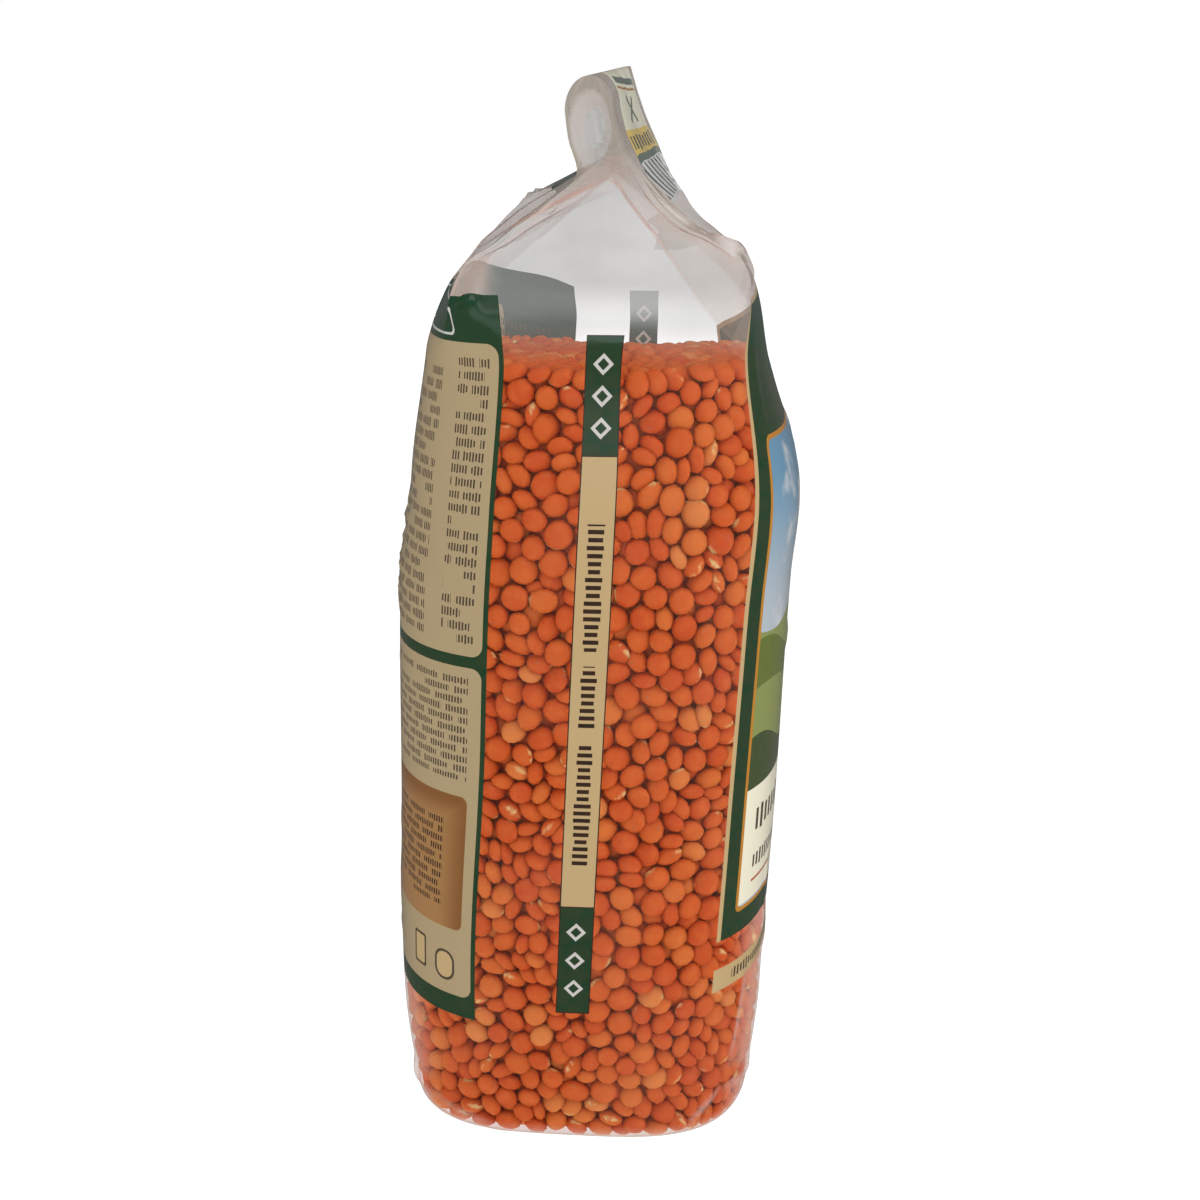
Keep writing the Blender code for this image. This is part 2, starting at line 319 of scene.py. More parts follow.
def ring_plan():
    """Height and inset of every ring, from the base's edge to the fold's crown."""
    plan = []
    for k in range(BASE_RINGS + 1):
        angle = math.pi / 2.0 * k / BASE_RINGS
        height = BASE_EDGE_RADIUS * (1.0 - math.cos(angle))
        plan.append((height, BASE_EDGE_RADIUS * (1.0 - math.sin(angle))))
    count = math.ceil((FOLD_START - BASE_EDGE_RADIUS) / RING_STEP)
    for k in range(1, count + 1):
        plan.append((BASE_EDGE_RADIUS + (FOLD_START - BASE_EDGE_RADIUS) * k / count, 0.0))
    for k in range(1, FOLD_RINGS + 1):
        angle = CROWN_SHARE * math.pi / 2.0 * k / FOLD_RINGS
        plan.append((FOLD_START + (FOLD_TOP - FOLD_START) * math.sin(angle), 0.0))
    return plan


class BodyTable:
    """The filled body's section sizes at any heights, for many points at once."""

    def __init__(self):
        self.z = np.arange(0.0, 160.0, 0.5)
        rows = [read_profile(BODY_STATIONS, z) for z in self.z]
        self.columns = np.array(rows).T

    def depth_and_normal(self, points):
        """How deep points lie inside the film, and the film's outward normal there."""
        depth, flat = self.flat_depth(points)
        above, _ = self.flat_depth(points + (0.0, 0.0, 1.0))
        below, _ = self.flat_depth(points - (0.0, 0.0, 1.0))
        lean = (above - below) / 2.0
        normal = flat - lean[:, None] * (0.0, 0.0, 1.0)
        length = np.sqrt(1.0 + lean * lean)
        return depth / length, normal / length[:, None]

    def flat_depth(self, points):
        """The same, measured level: the distance to the film at the point's own height."""
        centre, half_x, half_y, power = (np.interp(points[:, 2], self.z, column) for column in self.columns)
        dx = points[:, 0] - centre
        dy = points[:, 1]
        ax = np.abs(dx) / half_x + 1e-9
        ay = np.abs(dy) / half_y + 1e-9
        level = (ax**power + ay**power) ** (1.0 / power)
        normal = np.stack((
            np.sign(dx) * ax ** (power - 1.0) / half_x,
            np.sign(dy) * ay ** (power - 1.0) / half_y,
            np.zeros(len(dx)),
        ), axis=1)
        normal /= np.linalg.norm(normal, axis=1)[:, None] + 1e-12
        radial = np.sqrt(dx * dx + dy * dy) + 1e-9
        lean = (normal[:, 0] * dx + normal[:, 1] * dy) / radial
        return radial * (1.0 / level - 1.0) * lean, normal


def nearby_pairs(points, reach):
    """Every pair of points closer than reach, by sorting them into cubes."""
    cell = np.floor((points - points.min(axis=0)) / reach).astype(np.int64) + 1
    size = cell.max(axis=0) + 2
    key = (cell[:, 0] * size[1] + cell[:, 1]) * size[2] + cell[:, 2]
    order = np.argsort(key, kind="stable")
    sorted_key = key[order]
    first, second = [], []
    steps = [(i, j, k) for i in (-1, 0, 1) for j in (-1, 0, 1) for k in (-1, 0, 1)]
    own_cube = len(steps) // 2
    for step in steps[own_cube:]:
        shift = (step[0] * size[1] + step[1]) * size[2] + step[2]
        low = np.searchsorted(sorted_key, sorted_key + shift, side="left")
        high = np.searchsorted(sorted_key, sorted_key + shift, side="right")
        if shift == 0:
            low = np.arange(len(points)) + 1
        count = np.maximum(high - low, 0)
        a = np.repeat(np.arange(len(points)), count)
        start = np.repeat(low, count)
        offset = np.arange(len(a)) - np.repeat(np.cumsum(count) - count, count)
        first.append(order[a])
        second.append(order[start + offset])
    first = np.concatenate(first)
    second = np.concatenate(second)
    close = np.linalg.norm(points[first] - points[second], axis=1) < reach
    return first[close], second[close]


def scatter(index, values, count):
    return np.stack([np.bincount(index, values[:, k], count) for k in range(3)], axis=1)


def dot(one, two):
    return np.einsum("ij,ij->i", one, two)


def room_above(points):
    """How far points lie under the heap's top, which slopes up to the near gusset."""
    x, y, z = points.T
    ripple = 0.9 * np.sin(x / 9.0 + 1.0) * np.cos(y / 11.0)
    return FILL_HEIGHT - HEAP_SLOPE * y + ripple - z


def cover_of(points, table):
    """How far points lie inside the fill, from the nearest of the film, the top and the base."""
    depth, _ = table.depth_and_normal(points)
    return np.minimum(np.minimum(depth, room_above(points)), points[:, 2])


def settle_lentils(table):
    """Places, axes and sizes of the lentils next to the film, pushed apart until they fit."""
    rng = np.random.default_rng(SEED)
    low, high = np.array(FILL_LOW), np.array(FILL_HIGH)
    trial = rng.uniform(low, high, (TRIAL_PLACES, 3))
    cover = cover_of(trial, table)
    shell = (cover > 0.0) & (cover < FILL_DEPTH)
    volume = np.prod(high - low) * shell.mean()
    lentil = 4.0 / 3.0 * math.pi * LENTIL_RADIUS**2 * LENTIL_HALF_THICKNESS
    places = trial[shell][:int(PACKING_SHARE * volume / lentil)].copy()
    count = len(places)
    axes = rng.normal(size=(count, 3))
    depth, wall = table.depth_and_normal(places)
    wall[room_above(places) < depth] = (0.0, 0.0, 1.0)
    axes += WALL_LEANING * np.sign(dot(axes, wall))[:, None] * wall
    axes /= np.linalg.norm(axes, axis=1)[:, None]
    radius = LENTIL_RADIUS * np.clip(rng.normal(1.0, 0.07, count), 0.8, 1.16)
    flatness = rng.normal(LENTIL_HALF_THICKNESS / LENTIL_RADIUS, 0.05, count)
    half = radius * np.clip(flatness, 0.46, 0.72)
    reach = 2.0 * radius.max() + SORT_MARGIN
    for step in range(RELAX_STEPS + WALL_STEPS):
        if step % STEPS_BETWEEN_SORTS == 0:
            first, second = nearby_pairs(places, reach)
        if step < RELAX_STEPS:
            push_pairs(places, axes, radius, half, first, second)
        push_from_walls(places, axes, radius, half, table)
        axes /= np.linalg.norm(axes, axis=1)[:, None]
    return places, axes, radius, half


def push_pairs(places, axes, radius, half, first, second):
    """One step of the contact between lentils, by the overlap of flat round bodies."""
    line = places[first] - places[second]
    gap = np.linalg.norm(line, axis=1) + 1e-9
    line /= gap[:, None]
    one, two = axes[first], axes[second]
    flat = (half[first] / radius[first] + half[second] / radius[second]) / 2.0
    chi = (flat**2 - 1.0) / (flat**2 + 1.0)
    size = radius[first] + radius[second]
    along_one, along_two, cross = dot(line, one), dot(line, two), dot(one, two)
    plus, minus = along_one + along_two, along_one - along_two
    up, down = 1.0 + chi * cross, 1.0 - chi * cross
    shape = 1.0 - chi / 2.0 * (plus**2 / up + minus**2 / down)
    overlap = size / np.sqrt(shape) - gap
    hit = overlap > 0.0
    if not hit.any():
        return
    first, second, line, overlap = first[hit], second[hit], line[hit], overlap[hit]
    one, two, chi, size, shape = one[hit], two[hit], chi[hit], size[hit], shape[hit]
    plus, minus, up, down = plus[hit], minus[hit], up[hit], down[hit]
    count = len(places)
    shift = PUSH_SHARE * overlap[:, None] * line
    places += scatter(first, shift, count) - scatter(second, shift, count)
    slope = size * chi / 4.0 * shape ** (-1.5)
    shared = chi * (minus**2 / down**2 - plus**2 / up**2)
    turn_one = 2.0 * (plus / up + minus / down)[:, None] * line + shared[:, None] * two
    turn_two = 2.0 * (plus / up - minus / down)[:, None] * line + shared[:, None] * one
    turn = (TURN_SHARE * overlap * slope)[:, None]
    twist = scatter(first, turn * turn_one, count) + scatter(second, turn * turn_two, count)
    axes -= twist - dot(twist, axes)[:, None] * axes


def push_from_walls(places, axes, radius, half, table):
    """Keeps the lentils inside the film, over the base and under the heap's top."""
    depth, normal = table.depth_and_normal(places)
    up = np.zeros_like(normal)
    up[:, 2] = 1.0
    above = room_above(places)
    beside = np.maximum(FOOT_RADIUS - depth, 0.0)
    below = np.maximum(FOOT_RADIUS - places[:, 2], 0.0)
    round_edge = np.hypot(beside, below)
    corner = (beside[:, None] * normal - below[:, None] * up) / (round_edge[:, None] + 1e-9)
    in_corner = beside * below > 0.0
    walls = (
        (normal, depth - FILM_GAP),
        (-up, places[:, 2] - FILM_GAP),
        (up, above),
        (corner, np.where(in_corner, FOOT_RADIUS - round_edge - FILM_GAP, FOOT_RADIUS)),
    )
    for wall, room in walls:
        along = dot(wall, axes)
        support = np.sqrt(radius**2 - (radius**2 - half**2) * along**2)
        excess = np.maximum(support - room, 0.0)
        places -= (WALL_PUSH * excess)[:, None] * wall
        axes += (WALL_TURN * excess * along)[:, None] * (wall - along[:, None] * axes)
    inner = np.minimum(np.minimum(depth, above), places[:, 2]) - FILL_DEPTH + 1.0
    deep = inner > 0.0
    side = (depth < above) & (depth < places[:, 2])
    places[deep & side] += 0.5 * inner[deep & side, None] * normal[deep & side]
    rising = deep & ~side & (above < places[:, 2])
    places[rising, 2] += 0.5 * inner[rising]
    falling = deep & ~side & ~rising
    places[falling, 2] -= 0.5 * inner[falling]


def lentil_template(segments, rings):
    """A unit lentil: round, domed on both faces, with a soft rim. Points and faces."""
    points = [(0.0, 0.0, 1.0)]
    for k in range(1, rings):
        angle = math.pi * k / rings
        across, lift = math.sin(angle), math.cos(angle)
        lift = math.copysign(abs(lift) ** 0.92, lift)
        for n in range(segments):
            turn = 2.0 * math.pi * (n + 0.5 * (k % 2)) / segments
            points.append((across * math.cos(turn), across * math.sin(turn), lift))
    points.append((0.0, 0.0, -1.0))
    faces = []
    last = len(points) - 1
    for n in range(segments):
        m = (n + 1) % segments
        faces.append((0, 1 + n, 1 + m))
        base = 1 + (rings - 2) * segments
        faces.append((last, base + m, base + n))
        for k in range(rings - 2):
            a, b = 1 + k * segments, 1 + (k + 1) * segments
            if k % 2 == 0:
                faces += [(a + n, b + n, a + m), (a + m, b + n, b + m)]
            else:
                faces += [(a + n, b + n, b + m), (a + n, b + m, a + m)]
    return np.array(points), np.array(faces)


def mesh_from_arrays(name, points, faces):
    """A mesh object of triangles or quads, straight from arrays in metres."""
    mesh = bpy.data.meshes.new(name)
    sides = faces.shape[1]
    mesh.vertices.add(len(points))
    mesh.vertices.foreach_set("co", points.astype(np.float32).ravel())
    mesh.loops.add(faces.size)
    mesh.loops.foreach_set("vertex_index", faces.astype(np.int32).ravel())
    mesh.polygons.add(len(faces))
    mesh.polygons.foreach_set("loop_start", np.arange(0, faces.size, sides, dtype=np.int32))
    mesh.polygons.foreach_set("loop_total", np.full(len(faces), sides, dtype=np.int32))
    mesh.update(calc_edges=True)
    mesh.validate()
    mesh.shade_smooth()
    obj = bpy.data.objects.new(name, mesh)
    bpy.context.scene.collection.objects.link(obj)
    return obj


def add_value(obj, name, values):
    """A number for each point of a mesh, which its material reads by name."""
    layer = obj.data.attributes.new(name, "FLOAT", "POINT")
    layer.data.foreach_set("value", values.astype(np.float32))


def build_lentils(name, chosen, settled, template, rng):
    """One joined mesh of many lentils, each with its own size, turn, dents and tone."""
    places, axes, radius, half = settled
    points, faces = template
    count = len(chosen)
    axis = axes[chosen]
    helper = np.where(np.abs(axis[:, 2:3]) < 0.9, (0.0, 0.0, 1.0), (1.0, 0.0, 0.0))
    flat_one = np.cross(helper, axis)
    flat_one /= np.linalg.norm(flat_one, axis=1)[:, None]
    flat_two = np.cross(axis, flat_one)
    spin = rng.uniform(0.0, 2.0 * math.pi, count)[:, None]
    side = flat_one * np.cos(spin) + flat_two * np.sin(spin)
    other = flat_two * np.cos(spin) - flat_one * np.sin(spin)
    oval = rng.uniform(0.93, 1.0, count)
    r, h = radius[chosen][:, None], half[chosen][:, None]
    local = np.repeat(points[None], count, axis=0)
    bulge = 1.0 + 0.05 * np.sin(local[..., 0] * 2.1 + rng.uniform(0, 6.3, count)[:, None])
    bulge *= 1.0 + 0.04 * np.sin(local[..., 1] * 2.7 + rng.uniform(0, 6.3, count)[:, None])
    x = local[..., 0] * (r * bulge)
    y = local[..., 1] * (r * oval[:, None]) * bulge
    z = local[..., 2] * h
    world = places[chosen][:, None] + x[..., None] * side[:, None] + y[..., None] * other[:, None]
    world = world + z[..., None] * axis[:, None]
    grown = (faces[None] + (np.arange(count) * len(points))[:, None, None]).reshape(-1, 3)
    obj = mesh_from_arrays(name, world.reshape(-1, 3) * MM, grown)
    add_value(obj, "tone", np.repeat(rng.uniform(0.0, 1.0, count), len(points)))
    rim = np.hypot(local[..., 0], local[..., 1])
    edge_side = local[..., 0] * 0.5 + 0.5
    add_value(obj, "tip", (rim * edge_side).ravel())
    return obj


class Shader:
    """Short names for the node work that the materials share."""

    def __init__(self, name):
        self.material = bpy.data.materials.new(name)
        self.material.use_nodes = True
        self.tree = self.material.node_tree
        self.surface = self.tree.nodes["Principled BSDF"]

    def node(self, kind, inputs=(), **settings):
        """A new node with its settings, and its inputs from values or other nodes."""
        node = self.tree.nodes.new("ShaderNode" + kind)
        for name, value in settings.items():
            setattr(node, name, value)
        for key, value in inputs:
            self.link(value, node.inputs[key])
        return node

    def link(self, value, socket):
        if isinstance(value, bpy.types.NodeSocket):
            self.tree.links.new(value, socket)
        elif isinstance(value, tuple) and len(value) == 3:
            socket.default_value = (*value, 1.0) if socket.type == "RGBA" else value
        else:
            socket.default_value = value

    def set(self, **values):
        for name, value in values.items():
            self.link(value, self.surface.inputs[name.replace("_", " ")])

    def math(self, operation, *values, clamp=False):
        return self.node("Math", enumerate(values), operation=operation, use_clamp=clamp).outputs[0]

    plus = partialmethod(math, "ADD")
    minus = partialmethod(math, "SUBTRACT")
    times = partialmethod(math, "MULTIPLY")
    below = partialmethod(math, "LESS_THAN")

    def apart(self, one, two):
        return self.math("ABSOLUTE", self.minus(one, two))

    def mix(self, share, low, high):
        inputs = (("Factor", share), (6, low), (7, high))
        return self.node("Mix", inputs, data_type="RGBA").outputs[2]

    def ramp(self, value, *stops):
        node = self.node("ValToRGB", [(0, value)])
        elements = node.color_ramp.elements
        while len(elements) < len(stops):
            elements.new(0.5)
        for element, (place, colour) in zip(elements, stops):
            element.position = place
            element.color = (*colour, 1.0)
        return node.outputs[0]

    def grade(self, value, low, high, out_low=0.0, out_high=1.0):
        inputs = enumerate((value, low, high, out_low, out_high))
        return self.node("MapRange", inputs, interpolation_type="SMOOTHSTEP").outputs[0]

    def attribute(self, name):
        return self.node("Attribute", attribute_name=name).outputs["Fac"]

    def place(self):
        return self.node("TexCoord").outputs["Object"]

    def noise(self, vector, scale, detail=2.0):
        inputs = (("Vector", vector), ("Scale", scale), ("Detail", detail))
        return self.node("TexNoise", inputs).outputs["Fac"]

    def bump(self, height, strength, distance):
        inputs = (("Strength", strength), ("Distance", distance), ("Height", height))
        return self.node("Bump", inputs).outputs[0]

    def chance(self, *cells):
        """A random number from 0 to 1 that stays the same all over one cell."""
        joined = self.node("CombineXYZ", enumerate(cells)).outputs[0]
        return self.node("TexWhiteNoise", [("Vector", joined)]).outputs["Value"]


class PrintShader(Shader):
    """A material with print on it, placed by u and v: millimetres round the film and up it."""

    def __init__(self, name):
        super().__init__(name)
        print_map = self.node("UVMap", uv_map="print").outputs["UV"]
        parts = self.node("SeparateXYZ", [(0, print_map)])
        self.u, self.v = [self.times(parts.outputs[k], PRINT_MAP_SIZE) for k in range(2)]

    def box(self, left, right, low, high):
        """1 inside a rectangle of the print, 0 outside."""
        across = self.math("COMPARE", self.u, (left + right) / 2.0, (right - left) / 2.0)
        along = self.math("COMPARE", self.v, (low + high) / 2.0, (high - low) / 2.0)
        return self.times(across, along)

    def round_box(self, left, right, low, high, radius):
        """1 inside a rectangle with round corners."""
        squares = []
        for value, start, end in ((self.u, left, right), (self.v, low, high)):
            away = self.apart(value, (start + end) / 2.0)
            over = self.math("MAXIMUM", self.minus(away, (end - start) / 2.0 - radius), 0.0)
            squares.append(self.times(over, over))
        return self.below(self.plus(*squares), radius * radius)

    def strokes(self, along, across, pitch, height, seed):
        """A line of strokes of uneven height, centred on across = 0."""
        cells = self.math("DIVIDE", along, pitch)
        stroke = self.below(self.math("FRACT", cells), STROKE_SHARE)
        tall = self.times(self.chance(self.math("FLOOR", cells), seed), 1.0 - LEAST_STROKE)
        reach = self.times(self.plus(tall, LEAST_STROKE), height / 2.0)
        return self.times(stroke, self.below(self.math("ABSOLUTE", across), reach))

    def stroke_row(self, height, size, pitch, seed, *limits):
        """A level line of upright strokes, inside a rectangle."""
        row = self.strokes(self.u, self.minus(self.v, height), pitch, size, seed)
        return self.times(row, self.box(*limits))

    def small_print(self, pitch, word, share):
        """Rows of short strokes, grouped like words, where a real pack has small print."""
        rows = self.math("DIVIDE", self.v, pitch)
        line = self.math("FLOOR", rows)
        across = self.times(self.minus(self.math("FRACT", rows), 0.5), pitch)
        strokes = self.strokes(self.u, across, SMALL_PRINT_PITCH, SMALL_PRINT_HEIGHT * pitch, line)
        words = self.plus(self.math("DIVIDE", self.u, word), self.times(line, WORD_STAGGER))
        gap = self.math("GREATER_THAN", self.math("FRACT", words), WORD_GAP)
        kept = self.below(self.chance(self.math("FLOOR", words), line), share)
        return self.times(strokes, self.times(gap, kept))

    def past_corner(self, corner, slope):
        """How far the print drops past a corner; slope is minus on the back panel."""
        return self.math("MAXIMUM", self.times(self.minus(self.u, corner), slope), 0.0)


# Strokes that stand for words: the inked share of the pitch and the least height,
# then the pitch and height of small print, its words' stagger and the gap between them
STROKE_SHARE = 0.56
LEAST_STROKE = 0.64
SMALL_PRINT_PITCH = 0.62
SMALL_PRINT_HEIGHT = 0.74
WORD_STAGGER = 0.37
WORD_GAP = 0.16

# Middles of the printed strips: from the print line, and short of half the girth
NEAR_STRIP = 1.2
FAR_STRIP = 3.0
STRIP_HALF_WIDTH = 2.8

# Print colours
CREAM = (0.52, 0.375, 0.185)
BACK_CREAM = (0.41, 0.32, 0.18)
PALE_CREAM = (0.86, 0.82, 0.64)
TAB_CREAM = (0.95, 0.92, 0.72)
TAB_WHITE = (0.90, 0.89, 0.86)
GREEN = (0.012, 0.05, 0.022)
GREY_GREEN = (0.13, 0.17, 0.13)
ORANGE_LINE = (0.50, 0.21, 0.025)
RED_LINE = (0.42, 0.09, 0.03)
DARK_GREY = (0.055, 0.07, 0.065)
YELLOW = (0.92, 0.64, 0.14)
TAN = (0.22, 0.095, 0.028)
PALE_TAN = (0.36, 0.19, 0.07)
INK = (0.075, 0.058, 0.04)
DARK_INK = (0.03, 0.02, 0.014)
WHITE_INK = (0.58, 0.56, 0.53)
SKY = (0.13, 0.29, 0.43)
PALE_SKY = (0.43, 0.50, 0.55)
CLOUD = (0.62, 0.64, 0.66)
SUN = (0.66, 0.60, 0.30)
LEAF = (0.12, 0.17, 0.035)
PALE_LEAF = (0.24, 0.29, 0.09)
DARK_LEAF = (0.045, 0.08, 0.03)


def lentil_material():
    """Smooth matte seeds: orange, each with its own tone, some with a pale tip or specks."""
    s = Shader("red_lentil")
    tone = s.attribute("tone")
    colour = s.ramp(
        tone,
        (0.0, (0.54, 0.064, 0.004)),
        (0.35, (0.57, 0.081, 0.005)),
        (0.75, (0.59, 0.100, 0.008)),
        (0.92, (0.62, 0.14, 0.018)),
        (1.0, (0.66, 0.21, 0.05)),
    )
    place = s.place()
    cloud = s.noise(place, 420.0, 3.0)
    colour = s.mix(s.grade(cloud, 0.35, 0.75, 0.0, 0.22), colour, (0.78, 0.22, 0.04))
    chipped = s.grade(s.math("FRACT", s.times(tone, 7.0)), 0.55, 0.7)
    tip = s.times(s.grade(s.attribute("tip"), 0.78, 0.96), chipped)
    patch = s.times(tip, s.grade(s.noise(place, 900.0, 2.0), 0.42, 0.58))
    colour = s.mix(patch, colour, (0.72, 0.48, 0.20))
    speck = s.times(s.grade(s.noise(place, 1500.0, 1.0), 0.71, 0.77), 0.6)
    s.set(
        Base_Color=s.mix(speck, colour, (0.22, 0.14, 0.09)),
        Roughness=s.grade(cloud, 0.3, 0.7, 0.45, 0.62),
        Normal=s.bump(s.noise(place, 2600.0, 3.0), 0.3, 0.0001),
        Specular_IOR_Level=0.22,
        Subsurface_Weight=0.45,
        Subsurface_Radius=(1.0, 0.35, 0.12),
        Subsurface_Scale=0.0015,
    )
    return s.material


def core_material():
    """The fill behind the outer lentils, coloured lighter than the lentils themselves: painted light that
    lifts the shade in the gaps between them.
    """
    s = Shader("fill_core_painted_light")
    cloud = s.noise(s.place(), 240.0, 3.0)
    # painted light: lighter than the lentils' own colours, so the gaps between them read less dark
    s.set(Base_Color=s.ramp(cloud, (0.3, (0.62, 0.09, 0.01)), (0.7, (0.76, 0.15, 0.02))), Roughness=0.8)
    return s.material


def print_zone(u, v):
    """Which of the film's materials a face has, in the order that film_materials gives them."""
    zone = np.zeros(len(u), dtype=np.int32)
    zone[u < BACK_ENDS[0]] = 1
    zone[(u > FRONT_ENDS[1]) | (u < BACK_ENDS[1])] = 2
    zone[(u > FRONT_ENDS[0]) & (u <= FRONT_ENDS[1])] = 3
    zone[(u > FRONT_ENDS[0]) & (u <= TAB_END) & (v > TAB_FOOT)] = 4
    return zone


def film_materials(girth):
    """The same film five times, each with the print of one side of the bag."""
    return (
        film_material("film_near_gusset", gusset_print, NEAR_STRIP),
        film_material("film_back", back_print),
        film_material("film_far_gusset", far_gusset_print, girth / 2.0 - FAR_STRIP),
        film_material("film_front", front_print),
        film_material("film_tab", tab_print),
    )


def film_material(name, panel_print, *where):
    """Clear printed film: hazy where it hangs free, clear where it lies on the lentils."""
    s = PrintShader(name)
    place = s.place()
    print_colour, ink = CREAM, 0.0
    for mask, shade in panel_print(s, *where):
        print_colour = s.mix(mask, print_colour, shade)
        ink = s.math("MAXIMUM", ink, mask)
    free, beyond = s.attribute("free_film"), s.attribute("beyond_fold")
    ear = s.times(s.grade(beyond, -0.2, 0.5), free)
    line = s.grade(s.math("ABSOLUTE", beyond), 0.12, 0.5, 1.0, 0.0)
    line = s.times(line, s.attribute("crisp"))
    # crest: real raised creases, and along their crests a painted highlight: paler, hazier film standing for
    # the glints on the wrinkles
    crest = s.grade(s.attribute("crest"), 0.5, 1.0)
    cloud = s.noise(place, 38.0, 4.0)
    # rim and glance: the film grows hazier and paler toward grazing view angles, partly the longer slanting
    # path through hazy film, partly a painted sheen
    facing = s.node("LayerWeight", [("Blend", 0.35)]).outputs["Facing"]
    rim = s.grade(facing, 0.34, 0.79, 0.0, 0.50)
    rim = s.times(rim, s.minus(1.0, s.times(free, 0.8)))
    glance = s.times(s.grade(facing, 0.2, 0.7), s.grade(free, 0.0, 1.0, 0.9, 0.3))
    haze = s.plus(s.grade(cloud, 0.35, 0.7, 0.012, 0.045), rim)
    haze = s.plus(haze, s.times(free, s.grade(cloud, 0.25, 0.75, 0.28, 0.38)))
    # foot: the film's lowest 4 mm made much hazier, partly the film's own haze and partly painted shade over
    # the glowing floor seen under the bag
    haze = s.plus(haze, s.times(s.attribute("foot"), 0.46))
    film_colour = s.mix(free, (0.64, 0.50, 0.42), (0.24, 0.24, 0.23))
    for mask, added_haze, shade in (
        (ear, 0.13, (0.31, 0.235, 0.19)),
        (s.attribute("veil"), 0.30, (0.56, 0.46, 0.41)),
        (s.attribute("neck"), 0.18, (0.27, 0.235, 0.19)),
        (s.attribute("hollow"), 0.20, (0.42, 0.42, 0.41)),
        # painted sheen: paler colour at grazing view angles
        (glance, 0.0, (0.80, 0.63, 0.55)),
        (line, 0.36, (0.58, 0.37, 0.30)),
        # painted highlight along the crease crests
        (crest, 0.26, (0.66, 0.60, 0.56)),
    ):
        haze = s.plus(haze, s.times(mask, added_haze))
        film_colour = s.mix(mask, film_colour, shade)
    ink_alpha = s.times(ink, s.grade(s.attribute("thin_ink"), 0.0, 1.0, 0.975, 0.55))
    s.set(
        Base_Color=s.mix(ink, film_colour, print_colour),
        Alpha=s.math("MAXIMUM", ink_alpha, haze, clamp=True),
        Roughness=s.grade(cloud, 0.3, 0.7, 0.12, 0.22),
        Normal=s.bump(s.noise(place, 160.0, 3.0), 0.10, 0.0006),
        IOR=1.42,
        Specular_IOR_Level=0.4,
    )
    return s.material


def gusset_print(s, middle):
    """The narrow strip down a gusset: green, cream, green, with plain strokes and lozenges."""
    left, right = middle - STRIP_HALF_WIDTH, middle + STRIP_HALF_WIDTH
    layers = [
        (s.box(left - 0.2, right + 0.2, 28.5, 145.7), DARK_INK),
        (s.box(left, right, 49.4, 126.7), CREAM),
        (s.box(left, right, 28.7, 49.2), GREEN),
        (s.box(left, right, 126.9, 145.5), GREEN),
    ]
    across = s.minus(s.u, middle)
    letters = s.strokes(s.v, across, 1.3, 2.9, 7.0)
    for low, high in ((57.0, 79.0), (81.5, 92.5), (95.0, 116.0)):
        layers.append((s.times(letters, s.box(left, right, low, high)), DARK_INK))
    for height in (33.5, 39.0, 44.5, 131.2, 136.2, 141.2):
        spread = s.plus(s.apart(s.v, height), s.math("ABSOLUTE", across))
        layers.append((s.math("COMPARE", spread, 1.35, 0.38), WHITE_INK))
    return layers


def far_gusset_print(s, middle):
    """The far gusset's strip, and a faint grey-green patch on its front ear."""
    # a half-strength grey-green box on the far ear, darkening the film there
    faint = s.times(s.box(108.5, 119.0, 156.0, 166.0), 0.85)
    return gusset_print(s, middle) + [(faint, GREY_GREEN)]


def back_print(s):
    """The back panel: cream fields in a green frame, with strokes for the small print."""
    near, far = -15.6, -110.9
    s.u = s.plus(s.u, s.grade(s.v, 35.0, 80.0, 1.3, 0.0))
    s.v = s.plus(s.v, s.times(s.past_corner(-98.0, -0.42), s.grade(s.v, 100.0, 138.0)))
    layers = [
        (s.box(far, near, 25.0, 151.8), GREEN),
        (s.round_box(far + 0.9, near - 0.9, 92.8, 144.0, 2.0), BACK_CREAM),
        (s.round_box(far + 0.9, near - 0.9, 29.0, 90.8, 2.0), BACK_CREAM),
        (s.box(far, far + 11.0, 134.0, 151.8), GREEN),
        (s.box(-106.0, -66.0, 174.0, 184.0), GREEN),
        (s.round_box(-92.0, -24.0, 145.0, 150.8, 1.6), WHITE_INK),
        (s.round_box(-91.6, -24.4, 145.4, 150.4, 1.3), GREEN),
    ]
    small = s.small_print(2.15, 5.2, 0.85)
    dense = s.small_print(1.75, 7.3, 0.93)
    for print_rows, *limits in (
        (small, -25.0, -18.0, 94.5, 142.0),
        (small, -62.0, -29.5, 94.5, 140.0),
        (small, -106.0, -70.0, 94.5, 142.0),
        (dense, -56.0, -19.0, 70.5, 89.0),
        (dense, -106.0, -62.0, 44.0, 89.0),
    ):
        layers.append((s.times(print_rows, s.box(*limits)), INK))
    fade = s.grade(s.apart(s.u, -34.0), 9.0, 16.0)
    tan = s.mix(s.math("MAXIMUM", fade, s.grade(s.v, 62.0, 67.0)), PALE_TAN, TAN)
    layers.append((s.round_box(-50.0, -18.6, 42.0, 67.5, 1.4), tan))
    layers.append((s.times(dense, s.box(-46.0, -23.5, 46.0, 63.0)), DARK_INK))
    for left, right, low, high, corner in ((-24.8, -20.0, 31.5, 37.5, 2.2), (-31.5, -27.5, 32.0, 38.5, 0.5)):
        layers.append((s.round_box(left, right, low, high, corner), INK))
        inner = s.round_box(left + 0.5, right - 0.5, low + 0.5, high - 0.5, corner * 0.8)
        layers.append((inner, CREAM))
    return layers


